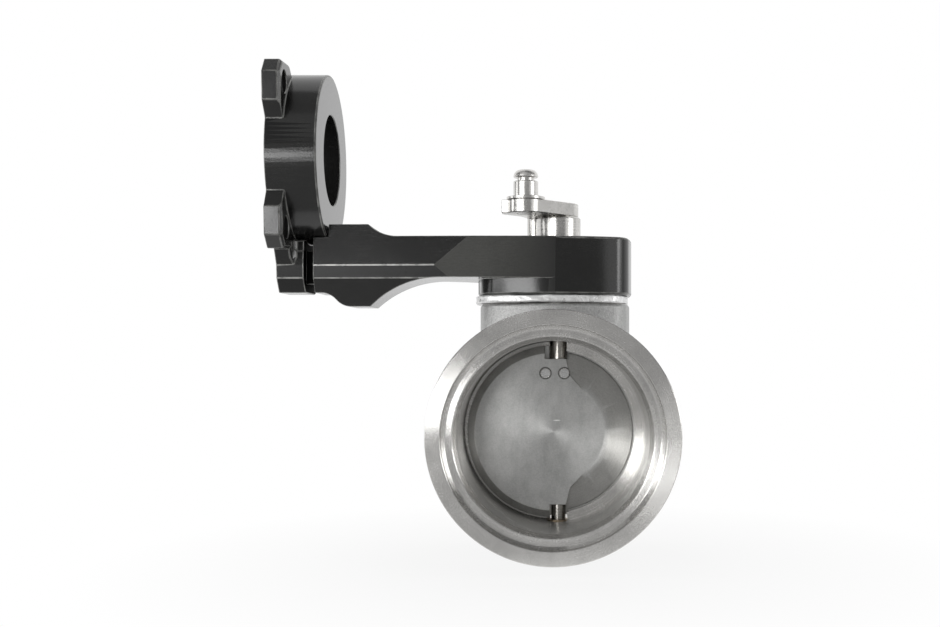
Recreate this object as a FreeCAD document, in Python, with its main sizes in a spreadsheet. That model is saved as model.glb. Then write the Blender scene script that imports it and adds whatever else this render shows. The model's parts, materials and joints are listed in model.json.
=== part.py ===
import FreeCAD, Part
import math
import os

import Sketcher

# Butterfly wastegate with a bolt-on actuator ring. Millimetres.
# X runs right, Y along the gas bore from the outlet to the inlet, Z up the spindle.
# The origin is the centre of the inlet flange's face. The valve is drawn closed.

# Driving dimensions
throat_radius = 25.0
seat_width = 2.9
body_length = 70.0
wall = 3.7
spindle_radius = 2.8
spindle_offset = 1.6
running_gap = 0.05
gasket_thickness = 2.4
head_height = 17.1
arm_thickness = 12.1
arm_length = 47.5
actuator_bore_radius = 13.5
ring_wall = 11.7
ring_depth = 14.7
bolt_circle_radius = 29.0
lobe_hole_radius = 3.15
lobe_tilt = 49.0
plate_thickness = 5.2
collar_radius = 6.9
collar_height = 7.8
lever_thickness = 4.0
crank_x = 9.9
crank_y = 11.5
pin_radius = 3.75
pin_height = 9.0
stop_radius = 2.6
stop_angle = 138.0
opening_angle = 70.0
screw_radius = 2.5

os.makedirs("parts", exist_ok=True)
doc = FreeCAD.newDocument("wastegate")
sheet = doc.addObject("Spreadsheet::Sheet", "sheet")


class Size:
    """A length or angle that knows its number and the sheet formula it comes from."""

    def __init__(self, value, text=None):
        self.value = float(value)
        self.text = text or repr(self.value)

    def __add__(self, other):
        other = as_size(other)
        return Size(self.value + other.value, f"({self.text} + {other.text})")

    def __sub__(self, other):
        other = as_size(other)
        return Size(self.value - other.value, f"({self.text} - {other.text})")

    def __mul__(self, other):
        other = as_size(other)
        return Size(self.value * other.value, f"({self.text} * {other.text})")

    def __truediv__(self, other):
        other = as_size(other)
        return Size(self.value / other.value, f"({self.text} / {other.text})")

    def __neg__(self):
        return Size(-self.value, f"(0 - {self.text})")

    def __radd__(self, other):
        return as_size(other) + self

    def __rsub__(self, other):
        return as_size(other) - self

    def __rmul__(self, other):
        return as_size(other) * self


def as_size(number):
    return number if isinstance(number, Size) else Size(number)


def cosine(angle):
    return Size(math.cos(math.radians(angle.value)), f"cos({angle.text})")


def sine(angle):
    return Size(math.sin(math.radians(angle.value)), f"sin({angle.text})")


def driving(name, value):
    """One row of the sheet: the name beside its number."""
    driving.row += 1
    sheet.set(f"A{driving.row}", name)
    sheet.set(f"B{driving.row}", str(value))
    sheet.setAlias(f"B{driving.row}", name)
    return Size(value, f"sheet.{name}")


driving.row = 0

# Each driving dimension goes into the sheet and then carries its own formula
throat_radius = driving("throat_radius", throat_radius)
seat_width = driving("seat_width", seat_width)
body_length = driving("body_length", body_length)
wall = driving("body_wall", wall)
spindle_radius = driving("spindle_radius", spindle_radius)
spindle_offset = driving("spindle_offset", spindle_offset)
running_gap = driving("running_gap", running_gap)
gasket_thickness = driving("gasket_thickness", gasket_thickness)
head_height = driving("head_height", head_height)
arm_thickness = driving("arm_thickness", arm_thickness)
arm_length = driving("arm_length", arm_length)
actuator_bore_radius = driving("actuator_bore_radius", actuator_bore_radius)
ring_wall = driving("ring_wall", ring_wall)
ring_depth = driving("ring_depth", ring_depth)
bolt_circle_radius = driving("bolt_circle_radius", bolt_circle_radius)
lobe_hole_radius = driving("lobe_hole_radius", lobe_hole_radius)
lobe_tilt = driving("lobe_tilt", lobe_tilt)
plate_thickness = driving("plate_thickness", plate_thickness)
collar_radius = driving("collar_radius", collar_radius)
collar_height = driving("collar_height", collar_height)
lever_thickness = driving("lever_thickness", lever_thickness)
crank_x = driving("crank_x", crank_x)
crank_y = driving("crank_y", crank_y)
pin_radius = driving("pin_radius", pin_radius)
pin_height = driving("pin_height", pin_height)
stop_radius = driving("stop_radius", stop_radius)
stop_angle = driving("stop_angle", stop_angle)
opening_angle = driving("opening_angle", opening_angle)
screw_radius = driving("screw_radius", screw_radius)

# Gas bore and flanges
bore_radius = throat_radius + seat_width
mouth_radius = bore_radius + 1.2
barrel_radius = bore_radius + wall
flange_radius = barrel_radius + 5.15
flange_rim = Size(3.4)
flange_taper = (flange_radius - barrel_radius) * 0.4
register_radius = flange_radius - 4.45
register_depth = Size(1.5)
register_step = Size(1.1)
spigot_radius = register_radius - 0.3
spigot_height = register_depth - 0.1

# Spindle, seat planes and disc: axial places count from the spindle's plane
spindle_y = -body_length * 0.5 - 2.5
seat_thickness = Size(2.4)
rim_front = Size(-0.5)
rim_back = Size(2.5)
seat_gap = Size(0.1)
disc_radius = bore_radius - 1.4
disc_front = -(spindle_radius + 2.2)
boss_radius = throat_radius - 0.8
cone_radius = throat_radius * 0.628
hub_half_height = throat_radius - 2.6

# Neck, gasket and bracket stack
neck_half = flange_radius - 13.75
neck_x = Size(0.5)
neck_top = flange_radius + 2.25
gasket_top = neck_top + gasket_thickness
head_half = neck_half + 0.6
head_top = gasket_top + head_height
bolt_half = neck_half - 8.2
boss_bottom = -(flange_radius + 3.25)

# Crank, stop and lever heights
collar_top = head_top + collar_height
lever_top = collar_top + lever_thickness
stop_distance = collar_radius + stop_radius + 0.2
stop_gap = Size(0.1)
hub_radius = collar_radius - 0.7
crank_end_radius = pin_radius + 1.7

# Arm and actuator ring
ring_radius = actuator_bore_radius + ring_wall
arm_end = -(neck_half + arm_length)
slot_width = Size(2.7)
lug_thickness = Size(8.0)
plate_left = arm_end - slot_width - lug_thickness
ring_z = head_top + ring_radius - 1.7
ring_y = spindle_y - crank_y - 1.0
arm_front = spindle_y - head_half - 0.02
lug_half = Size(10.4)
arm_top = head_top + 3.5
arm_bottom = gasket_top + 0.6
arm_crest = gasket_top + 8.6
mount_screw_z = arm_crest - 0.5
mount_shift = Size(1.2)
mount_screw_half = Size(4.2)
mount_screw_radius = Size(2.0)
mount_screw_length = Size(15.0)
dowel_radius = Size(1.3)


def bind(thing, **sizes):
    for name, size in sizes.items():
        thing.setExpression(name, as_size(size).text)


def place(thing, x=0, y=0, z=0, axis=None, angle=0):
    """Give a piece its Placement: a turn about one axis, then the bound position."""
    turn = FreeCAD.Rotation(FreeCAD.Vector(*axis), angle) if axis else FreeCAD.Rotation()
    thing.Placement = FreeCAD.Placement(FreeCAD.Vector(), turn)
    for letter, size in (("x", x), ("y", y), ("z", z)):
        thing.setExpression(f"Placement.Base.{letter}", as_size(size).text)
    return thing


def sketch_in(body, plane, x=0, y=0, z=0):
    """A sketch on one of the body's origin planes, shifted in that plane's own axes."""
    sketch = body.newObject("Sketcher::SketchObject", body.Label + "_sketch")
    support = [face for face in body.Origin.OriginFeatures if face.Role == plane][0]
    sketch.AttachmentSupport = [(support, "")]
    sketch.MapMode = "FlatFace"
    for letter, size in (("x", x), ("y", y), ("z", z)):
        sketch.setExpression(f"AttachmentOffset.Base.{letter}", as_size(size).text)
    return sketch


def pin_point(sketch, edge, end, x, y):
    """Hold one end of an edge (or a circle's centre) at a bound place."""
    for kind, size in (("DistanceX", as_size(x)), ("DistanceY", as_size(y))):
        index = sketch.addConstraint(Sketcher.Constraint(kind, -1, 1, edge, end, size.value))
        sketch.setExpression(f"Constraints[{index}]", size.text)


def hold_radius(sketch, edge, radius):
    index = sketch.addConstraint(Sketcher.Constraint("Radius", edge, radius.value))
    sketch.setExpression(f"Constraints[{index}]", radius.text)


def circle(sketch, x, y, radius):
    centre = FreeCAD.Vector(as_size(x).value, as_size(y).value, 0)
    radius = as_size(radius)
    edge = sketch.addGeometry(Part.Circle(centre, FreeCAD.Vector(0, 0, 1), radius.value), False)
    pin_point(sketch, edge, 3, x, y)
    hold_radius(sketch, edge, radius)


def arc_between(start, end, radius, turn):
    """The short arc from start to end; turn 1 goes counter-clockwise, -1 clockwise."""
    middle = (start + end) * 0.5
    chord = end - start
    rise = math.sqrt(max(radius ** 2 - (chord.Length * 0.5) ** 2, 0.0))
    side = FreeCAD.Vector(-chord.y, chord.x, 0).normalize()
    centre = middle + side * rise * turn
    first, last = (start, end) if turn > 0 else (end, start)
    angles = [math.atan2(p.y - centre.y, p.x - centre.x) for p in (first, last)]
    round_edge = Part.Circle(centre, FreeCAD.Vector(0, 0, 1), radius)
    return Part.ArcOfCircle(round_edge, angles[0], angles[1])


def outline(sketch, corners):
    """A closed outline. A corner is (x, y) for a straight edge that arrives there,
    or (x, y, radius, turn) for an arc that arrives there."""
    places = [FreeCAD.Vector(as_size(c[0]).value, as_size(c[1]).value, 0) for c in corners]
    ends = []
    for index, corner in enumerate(corners):
        start, end = places[index - 1], places[index]
        if len(corner) == 2:
            edge = sketch.addGeometry(Part.LineSegment(start, end), False)
            ends.append((edge, 1, 2))
            continue
        radius, turn = as_size(corner[2]), corner[3]
        edge = sketch.addGeometry(arc_between(start, end, radius.value, turn), False)
        ends.append((edge, 1, 2) if turn > 0 else (edge, 2, 1))
        hold_radius(sketch, edge, radius)
    for index, corner in enumerate(corners):
        edge, _, finish = ends[index]
        following, begin, _ = ends[(index + 1) % len(corners)]
        sketch.addConstraint(Sketcher.Constraint("Coincident", edge, finish, following, begin))
        pin_point(sketch, edge, finish, corner[0], corner[1])


def crowned_square(sketch, half, x=0, y=0):
    """A square with gently bowed sides and rounded corners, as the neck and head have."""
    front_bow, side_bow = Size(3.3), Size(1.6)
    corner_x, corner_y, corner_radius = Size(4.2), Size(4.8), Size(7.0)
    flat_x = half - side_bow - corner_x
    flat_y = half - front_bow - corner_y
    front_radius = (flat_x * flat_x + front_bow * front_bow) / (2 * front_bow)
    side_radius = (flat_y * flat_y + side_bow * side_bow) / (2 * side_bow)
    near, wide = half - front_bow, half - side_bow
    x, y = as_size(x), as_size(y)
    outline(sketch, [
        (x + flat_x, y - near, front_radius, 1),
        (x + wide, y - flat_y, corner_radius, 1),
        (x + wide, y + flat_y, side_radius, 1),
        (x + flat_x, y + near, corner_radius, 1),
        (x - flat_x, y + near, front_radius, 1),
        (x - wide, y + flat_y, corner_radius, 1),
        (x - wide, y - flat_y, side_radius, 1),
        (x - flat_x, y - near, corner_radius, 1),
    ])


def new_body(name):
    body = doc.addObject("PartDesign::Body", name)
    body.Label = name
    return body


def pad(body, sketch, length, reverse=False):
    feature = body.newObject("PartDesign::Pad", body.Label + "_pad")
    feature.Profile = sketch
    feature.Reversed = reverse
    bind(feature, Length=length)
    sketch.Visibility = False
    return feature


def pocket(body, sketch, depth, reverse=False):
    feature = body.newObject("PartDesign::Pocket", body.Label + "_pocket")
    feature.Profile = sketch
    feature.Reversed = reverse
    bind(feature, Length=depth)
    return feature


def turn_profile(body, sketch, angle=360.0, cut=False):
    """Revolve a sketch about its own upright axis, to add or to cut."""
    kind = "Groove" if cut else "Revolution"
    feature = body.newObject("PartDesign::" + kind, body.Label + "_" + kind.lower())
    feature.Profile = sketch
    feature.ReferenceAxis = (sketch, ["V_Axis"])
    feature.Midplane = angle < 360.0
    feature.Angle = angle
    return feature


def turned(name, profile):
    """A turned piece: (radius, height) corners revolved about the piece's own Z axis."""
    body = new_body(name)
    sketch = sketch_in(body, "XZ_Plane")
    outline(sketch, profile)
    turn_profile(body, sketch)
    return body


def sleeve(name, inner, outer, bottom, top):
    return turned(name, [(inner, bottom), (outer, bottom), (outer, top), (inner, top)])


def on_spindle(piece):
    return place(piece, spindle_offset, spindle_y)


def soften(body, size, wanted, kind="Fillet"):
    """Fillet or chamfer the edges of the newest feature that the test picks."""
    doc.recompute()
    feature = body.Tip
    names = [f"Edge{i + 1}" for i, edge in enumerate(feature.Shape.Edges) if wanted(edge)]
    blend = body.newObject("PartDesign::" + kind, body.Label + "_" + kind.lower())
    blend.Base = (feature, names)
    if kind == "Fillet":
        bind(blend, Radius=size)
    else:
        bind(blend, Size=size)
    return blend


def at_height(height):
    """A test for edges that lie level at one height."""
    def test(edge):
        box = edge.BoundBox
        return abs(box.ZMin - height.value) < 0.01 and abs(box.ZMax - height.value) < 0.01
    return test


def at_depth(depth, beyond=0):
    """A test for edges in one plane square to X, all of it farther than this from the X axis."""
    def test(edge):
        box = edge.BoundBox
        level = abs(box.XMin - depth.value) < 0.01 and abs(box.XMax - depth.value) < 0.01
        reach = min(math.hypot(vertex.Y, vertex.Z) for vertex in edge.Vertexes)
        return level and reach > as_size(beyond).value
    return test


def boolean(kind, name, pieces):
    feature = doc.addObject("Part::" + kind, name)
    if kind == "Cut":
        feature.Base, feature.Tool = pieces
    else:
        feature.Shapes = pieces
    return feature


def rod(name, radius, length, x=0, y=0, z=0, along=None):
    """A plain cylinder, up Z unless it lies along X or Y."""
    turns = {"X": ((0, 1, 0), 90), "Y": ((1, 0, 0), -90)}
    axis, angle = turns.get(along, (None, 0))
    cylinder = doc.addObject("Part::Cylinder", name)
    bind(cylinder, Radius=radius, Height=length)
    return place(cylinder, x, y, z, axis, angle)


def block(name, x_size, y_size, z_size, x, y, z):
    box = doc.addObject("Part::Box", name)
    bind(box, Length=x_size, Width=y_size, Height=z_size)
    return place(box, x, y, z)


def group(name, pieces):
    compound = doc.addObject("Part::Compound", name)
    compound.Links = pieces
    compound.Label = name
    return compound


corner_signs = [(-1, -1), (1, -1), (1, 1), (-1, 1)]


# Valve body: turned barrel with two clamp flanges, cast neck, lower boss, two half-ring seats
upper_hole_bottom = bore_radius + 1.6
lower_bush_bottom = boss_bottom + 3.6
packing_bottom = neck_top - 4.0


def make_valve_body():
    body = new_body("valve_body")
    sketch = sketch_in(body, "XY_Plane")
    outline(sketch, [
        (0, -body_length),
        (flange_radius, -body_length),
        (flange_radius, flange_rim - body_length),
        (barrel_radius, flange_rim + flange_taper - body_length),
        (barrel_radius, -(flange_rim + flange_taper)),
        (flange_radius, -flange_rim),
        (flange_radius, 0),
        (spigot_radius, 0),
        (spigot_radius, spigot_height),
        (0, spigot_height),
    ])
    turn_profile(body, sketch)

    sketch = sketch_in(body, "XY_Plane")
    crowned_square(sketch, neck_half, neck_x, spindle_y)
    pad(body, sketch, neck_top)
    soften(body, Size(1.2), at_height(neck_top))

    sketch = sketch_in(body, "XY_Plane")
    circle(sketch, spindle_offset, spindle_y, 9.0)
    pad(body, sketch, -boss_bottom, reverse=True)
    soften(body, Size(1.0), at_height(boss_bottom), "Chamfer")

    mouth_y = -body_length + register_depth + register_step
    sketch = sketch_in(body, "XY_Plane")
    outline(sketch, [
        (0, -body_length),
        (register_radius, -body_length),
        (register_radius, register_depth - body_length),
        (register_radius - register_step, mouth_y),
        (mouth_radius, mouth_y),
        (bore_radius, mouth_y + 2.0),
        (bore_radius, -2.0),
        (mouth_radius, 0.0),
        (mouth_radius, spigot_height),
        (0, spigot_height),
    ])
    turn_profile(body, sketch, cut=True)

    outlet_seat = spindle_y + rim_front - seat_gap - seat_thickness
    inlet_seat = spindle_y + rim_back + seat_gap
    for front, sweep, side in ((outlet_seat, 161.5, 1), (inlet_seat, 176.0, -1)):
        sketch = sketch_in(body, "XY_Plane")
        outline(sketch, [
            (throat_radius * side, front),
            ((bore_radius + 0.5) * side, front),
            ((bore_radius + 0.5) * side, front + seat_thickness),
            (throat_radius * side, front + seat_thickness),
        ])
        turn_profile(body, sketch, sweep)

    sketch = sketch_in(body, "XZ_Plane", spindle_offset, 0, -spindle_y)
    outline(sketch, [
        (0, bore_radius - 4.0),
        (spindle_radius + 0.3, bore_radius - 4.0),
        (spindle_radius + 0.3, upper_hole_bottom),
        (spindle_radius + 2.2, upper_hole_bottom),
        (spindle_radius + 2.2, neck_top),
        (0, neck_top),
    ])
    turn_profile(body, sketch, cut=True)
    sketch = sketch_in(body, "XZ_Plane", spindle_offset, 0, -spindle_y)
    outline(sketch, [
        (0, boss_bottom),
        (spindle_radius + 2.7, boss_bottom),
        (spindle_radius + 2.7, lower_bush_bottom),
        (spindle_radius + 0.8, lower_bush_bottom),
        (spindle_radius + 0.8, 4.0 - bore_radius),
        (0, 4.0 - bore_radius),
    ])
    turn_profile(body, sketch, cut=True)

    sketch = sketch_in(body, "XY_Plane", z=neck_top)
    for side_x, side_y in corner_signs:
        circle(sketch, neck_x + bolt_half * side_x, spindle_y + bolt_half * side_y, screw_radius)
    pocket(body, sketch, 11.0)
    return body


# Heat gasket: a foil-faced plate, a little off centre in its clearance holes
def make_gasket():
    body = new_body("heat_gasket")
    shift = Size(0.9)
    sketch = sketch_in(body, "XY_Plane", z=neck_top)
    crowned_square(sketch, neck_half + 0.3, neck_x - shift, spindle_y)
    circle(sketch, spindle_offset, spindle_y, spindle_radius + 3.2)
    for side_x, side_y in corner_signs:
        centre_x = neck_x + bolt_half * side_x - shift
        circle(sketch, centre_x, spindle_y + bolt_half * side_y, screw_radius + 1.2)
    pad(body, sketch, gasket_thickness)
    return body


# Bracket: crowned head, arm with a crest along its front, raised seat for the ring's lug
def make_bracket():
    head = new_body("bracket_head")
    sketch = sketch_in(head, "XY_Plane", z=gasket_top)
    crowned_square(sketch, head_half, neck_x, spindle_y)
    pad(head, sketch, head_height)
    soften(head, Size(0.5), at_height(head_top), "Chamfer")
    soften(head, Size(0.5), at_height(gasket_top), "Chamfer")

    # Side view of the arm: thin at the head, a deeper boss at the end, scooped between
    side = new_body("arm_side_view")
    root = neck_x + 0.3
    thin_bottom = head_top - arm_thickness
    scoop_drop = thin_bottom - arm_bottom + 4.0
    scoop_run = Size(21.3)
    scoop_start = -(neck_half + 10.0)
    scoop_radius = (scoop_run * scoop_run + scoop_drop * scoop_drop) / (2 * scoop_drop)
    belly_left = scoop_start - scoop_run - 5.9
    step_run, step_drop = Size(4.15), Size(2.0)
    step_radius = (step_run * step_run + step_drop * step_drop) / (2 * step_drop)
    belly = arm_bottom - 4.0
    shoulder_x = scoop_start - 12.7
    shoulder_run, shoulder_drop = Size(8.5), arm_top - head_top
    shoulder_radius = (shoulder_run * shoulder_run + shoulder_drop * shoulder_drop) / (2 * shoulder_drop)
    sketch = sketch_in(side, "XZ_Plane", 0, 0, -arm_front)
    outline(sketch, [
        (root, head_top),
        (root, thin_bottom),
        (scoop_start, thin_bottom),
        (scoop_start - scoop_run, belly, scoop_radius, 1),
        (belly_left, belly),
        (belly_left - step_run, belly + step_drop, step_radius, -1),
        (belly_left - step_run * 2, arm_bottom, step_radius, 1),
        (arm_end, arm_bottom),
        (arm_end, arm_top),
        (shoulder_x - shoulder_run, arm_top),
        (shoulder_x, head_top, shoulder_radius, 1),
    ])
    pad(side, sketch, lug_half * 4, reverse=True)

    # Plan view of the arm: flat front, tapering back
    plan = new_body("arm_plan_view")
    sketch = sketch_in(plan, "XY_Plane", z=belly - 1.0)
    arm_back = ring_y + lug_half
    outline(sketch, [
        (root, arm_front),
        (root, spindle_y + head_half * 0.5),
        (neck_x - head_half + 2.0, spindle_y + head_half * 0.5),
        (neck_x - head_half - 12.0, arm_back + 3.0, 24.0, -1),
        (arm_end, arm_back),
        (arm_end, arm_front),
    ])
    pad(plan, sketch, arm_top - belly + 2.0)

    # Crested front: the end view, swept a little forward as it nears the head
    crest = new_body("arm_end_view")
    lean = 0.045
    reach = Size(15.0)
    far_left = arm_end - 2.0
    for station in (far_left, root + 2.0):
        forward = (station - arm_end) * -lean
        crest_y = arm_front + 1.6 + forward
        sketch = sketch_in(crest, "YZ_Plane", z=station)
        outline(sketch, [
            (crest_y, arm_crest),
            (crest_y + 0.2, arm_crest - 3.8),
            (crest_y + 7.5, arm_crest - reach),
            (arm_back + 12.0, arm_crest - reach),
            (arm_back + 12.0, arm_crest + reach),
            (crest_y + 0.8, arm_crest + reach),
        ])
    first, second = [item for item in crest.Group if "sketch" in item.Name]
    loft = crest.newObject("PartDesign::AdditiveLoft", "arm_loft")
    loft.Profile = first
    loft.Sections = [second]
    loft.Ruled = True

    arm = boolean("MultiCommon", "arm", [side, plan, crest])
    seat_half = mount_screw_half + mount_screw_radius + 1.0
    seat_y = ring_y + mount_shift
    seat = block("arm_seat", slot_width + 1.0, seat_half * 2, 10.0,
                 arm_end - slot_width, seat_y - seat_half, arm_bottom + 2.5)
    solid = boolean("MultiFuse", "bracket_solid", [head, arm, seat])

    cutters = [
        rod("ring_clearance", ring_radius + 0.3, 9.0, plate_left + ring_depth - 8.4, ring_y, ring_z, "X"),
        rod("bush_bore", spindle_radius + 2.7, head_height + 2.0,
            spindle_offset, spindle_y, gasket_top - 1.0),
        rod("bush_recess", spindle_radius + 3.6, 2.0, spindle_offset, spindle_y, head_top - 1.0),
        rod("post_hole", stop_radius, 9.0, spindle_offset + stop_distance * cosine(stop_angle),
            spindle_y + stop_distance * sine(stop_angle), head_top - 8.0),
        rod("dowel_hole", dowel_radius, 8.0, arm_end - slot_width - 1.0, seat_y, mount_screw_z, "X"),
    ]
    for side_x, side_y in corner_signs:
        x, y = neck_x + bolt_half * side_x, spindle_y + bolt_half * side_y
        cutters.append(rod("screw_way", screw_radius + 0.3, head_height + 2.0, x, y, gasket_top - 1.0))
        cutters.append(rod("screw_recess", screw_radius + 2.2, 7.4, x, y, head_top - 6.4))
    for side_y in (-1, 1):
        cutters.append(rod("mount_screw_way", mount_screw_radius, mount_screw_length,
                           arm_end - slot_width - 1.0, seat_y + mount_screw_half * side_y,
                           mount_screw_z, "X"))
    tools = boolean("MultiFuse", "bracket_tools", cutters)
    bracket = boolean("Cut", "bracket", (solid, tools))
    bracket.Label = "bracket"
    return bracket


# Actuator mount: thick ring, thin plate with four lobes, and the lug that bolts to the arm
lobe_half = lobe_hole_radius + 5.2
lobe_reach = lobe_hole_radius + 2.7
lobe_tip_half = lobe_hole_radius - 0.5
lobe_flat_start = lobe_reach - (lobe_half - lobe_tip_half)
lobe_flare_start = ring_radius - bolt_circle_radius - 2.2
lobe_flare = Size(0.9)


def lobe_spot(angle, out, side):
    """A place given outward from the bolt circle and sideways from one lobe's middle line."""
    out = bolt_circle_radius + out
    return cosine(angle) * out - sine(angle) * side, sine(angle) * out + cosine(angle) * side


def lobe_corners(angle):
    """One lobe about the ring's axis: flat sides, two flats at 45 degrees and a flat tip."""
    root = ring_radius * 0.8 - bolt_circle_radius
    places = [
        (root, -lobe_half),
        (lobe_flare_start, -(lobe_half + lobe_flare)),
        (lobe_flat_start, -lobe_half),
        (lobe_reach, -lobe_tip_half),
        (lobe_reach, lobe_tip_half),
        (lobe_flat_start, lobe_half),
        (lobe_flare_start, lobe_half + lobe_flare),
        (root, lobe_half),
    ]
    return [lobe_spot(angle, out, side) for out, side in places]


def make_actuator_mount():
    body = new_body("actuator_mount")
    sketch = sketch_in(body, "YZ_Plane")
    circle(sketch, 0, 0, ring_radius)
    pad(body, sketch, ring_depth)
    for step in range(4):
        angle = lobe_tilt + 90.0 * step
        sketch = sketch_in(body, "YZ_Plane")
        outline(sketch, lobe_corners(angle))
        pad(body, sketch, plate_thickness)

    # A web joins the lower near lobe to the lug's crest; the lug itself is faceted above it
    lug_bottom = arm_bottom - ring_z
    crest = arm_crest - ring_z
    near_lobe = lobe_tilt + 180.0
    sketch = sketch_in(body, "YZ_Plane")
    outline(sketch, [
        (0, -ring_radius * 0.8),
        lobe_spot(near_lobe, Size(-4.0), lobe_half - 1.0),
        lobe_spot(near_lobe, lobe_flat_start, lobe_half),
        (0.5 - lug_half, crest),
        (0, crest),
    ])
    pad(body, sketch, plate_thickness)
    sketch = sketch_in(body, "YZ_Plane")
    outline(sketch, [
        (lug_half, -ring_radius * 0.8),
        (4.4 - lug_half, -ring_radius * 0.8),
        (4.4 - lug_half, 0.8 - ring_radius),
        (1.3 - lug_half, 0.4 - ring_radius),
        (1.3 - lug_half, crest + 4.1),
        (0.8 - lug_half, crest + 4.1),
        (0.5 - lug_half, crest),
        (0.8 - lug_half, crest - 3.8),
        (4.4 - lug_half, lug_bottom),
        (lug_half - 3.0, lug_bottom),
        (lug_half, lug_bottom + 3.0, 3.0, 1),
    ])
    pad(body, sketch, lug_thickness)
    soften(body, Size(0.3), at_depth(ring_depth), "Chamfer")
    soften(body, Size(0.8), at_depth(plate_thickness, beyond=ring_radius + 1.0), "Chamfer")

    sketch = sketch_in(body, "YZ_Plane")
    circle(sketch, 0, 0, actuator_bore_radius)
    pocket(body, sketch, ring_depth, reverse=True)
    sketch = sketch_in(body, "YZ_Plane")
    for step in range(4):
        angle = lobe_tilt + 90.0 * step
        circle(sketch, bolt_circle_radius * cosine(angle), bolt_circle_radius * sine(angle), lobe_hole_radius)
    pocket(body, sketch, plate_thickness, reverse=True)

    screw_height = mount_screw_z - ring_z
    sketch = sketch_in(body, "YZ_Plane")
    for side in (-1, 1):
        circle(sketch, mount_shift + mount_screw_half * side, screw_height, mount_screw_radius + 0.2)
    pocket(body, sketch, lug_thickness, reverse=True)
    sketch = sketch_in(body, "YZ_Plane")
    for side in (-1, 1):
        circle(sketch, mount_shift + mount_screw_half * side, screw_height, mount_screw_radius + 1.8)
    pocket(body, sketch, 4.4, reverse=True)
    sketch = sketch_in(body, "YZ_Plane", z=lug_thickness)
    circle(sketch, mount_shift, screw_height, dowel_radius)
    pocket(body, sketch, 3.0)
    return place(body, plate_left, ring_y, ring_z)


# Two pins lock the disc to the spindle; each bites into one side of the shaft
disc_pin_radius = Size(1.7)
disc_pin_z = throat_radius * 0.72
pin_bore_length = Size(14.0)
pin_places = (-4.0, 1.75)


# Spindle: one stepped shaft from the lower journal to the lever's top
journal_radius = spindle_radius - 0.55
ring_groove_z = upper_hole_bottom + 1.2


def make_spindle():
    groove = journal_radius
    corners = [
        (0, lower_bush_bottom + 0.4),
        (journal_radius, lower_bush_bottom + 0.4),
        (journal_radius, -hub_half_height - 0.2),
        (spindle_radius, -hub_half_height - 0.2),
    ]
    for count in range(2):
        low = ring_groove_z + 2.0 * count
        corners += [(spindle_radius, low), (groove, low), (groove, low + 1.0), (spindle_radius, low + 1.0)]
    corners += [
        (spindle_radius, lever_top - 0.4),
        (spindle_radius - 0.4, lever_top),
        (0, lever_top),
    ]
    shaft = on_spindle(turned("spindle_shaft", corners))
    notches = [rod("pin_notch", disc_pin_radius, pin_bore_length, spindle_offset + across,
                   spindle_y - pin_bore_length * 0.5, disc_pin_z, "Y") for across in pin_places]
    spindle = boolean("Cut", "spindle", (shaft, boolean("MultiFuse", "pin_notches", notches)))
    spindle.Label = "spindle"
    return spindle


# Disc: thick flat-faced butterfly with a lap rim, one side relieved as a cone
def make_disc():
    plate = new_body("disc_plate")
    sketch = sketch_in(plate, "XY_Plane")
    outline(sketch, [
        (0, disc_front),
        (boss_radius, disc_front),
        (disc_radius, disc_front + 2.2),
        (disc_radius, rim_back),
        (0, rim_back),
    ])
    turn_profile(plate, sketch)
    place(plate, 0, spindle_y, 0)

    rib = rod("disc_rib", spindle_radius + 2.2, hub_half_height * 2,
              spindle_offset, spindle_y, -hub_half_height)
    solid = boolean("MultiFuse", "disc_solid", [plate, rib])

    cone = new_body("disc_cone")
    sketch = sketch_in(cone, "XY_Plane")
    outline(sketch, [
        (cone_radius, disc_front),
        (cone_radius, disc_front - 1.0),
        (disc_radius + 1.0, disc_front - 1.0),
        (disc_radius + 1.0, rim_front),
        (throat_radius - 0.3, rim_front),
        (throat_radius - 0.5, rim_front - 0.4),
    ])
    turn_profile(cone, sketch)
    place(cone, 0, spindle_y, 0)

    # The cone is only cut right of this outline, which leaves a pad round the pins
    field = new_body("disc_cone_field")
    sketch = sketch_in(field, "XZ_Plane", 0, 0, -(spindle_y + disc_front - 2.0))
    pad_x = spindle_offset + spindle_radius - 0.5
    outline(sketch, [
        (disc_radius + 3.0, -(disc_radius + 3.0)),
        (disc_radius + 3.0, disc_radius + 3.0),
        (pad_x, disc_radius + 3.0),
        (pad_x, throat_radius * 0.9),
        (pad_x + 1.3, throat_radius * 0.69),
        (throat_radius * 0.4, throat_radius * 0.467),
        (throat_radius * 0.4, throat_radius * -0.467),
        (pad_x + 1.3, throat_radius * -0.69),
        (pad_x, throat_radius * -0.9),
        (pad_x, -(disc_radius + 3.0)),
    ])
    pad(field, sketch, 12.0, reverse=True)
    relief = boolean("MultiCommon", "disc_relief", [cone, field])

    # Slots that show the spindle's ends: the upper one is wider on the left
    slot_height = disc_radius - hub_half_height + 2.0
    slot_depth = rim_front - disc_front + 2.0
    cutters = [relief, rod("disc_bore", spindle_radius, disc_radius * 2 + 2.0,
                           spindle_offset, spindle_y, -disc_radius - 1.0)]
    upper_slot = (spindle_radius + 1.4, spindle_radius + 0.3, hub_half_height)
    lower_slot = (journal_radius + 0.4, journal_radius + 0.4, -hub_half_height - slot_height)
    for left, right, bottom in (upper_slot, lower_slot):
        cutters.append(block("disc_slot", left + right, slot_depth, slot_height,
                             spindle_offset - left, spindle_y + rim_front - slot_depth, bottom))
    for across in pin_places:
        cutters.append(rod("pin_hole", disc_pin_radius, pin_bore_length, spindle_offset + across,
                           spindle_y - pin_bore_length * 0.5, disc_pin_z, "Y"))
    tools = boolean("MultiFuse", "disc_tools", cutters)
    disc = boolean("Cut", "disc", (solid, tools))
    disc.Label = "disc"
    return disc


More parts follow.
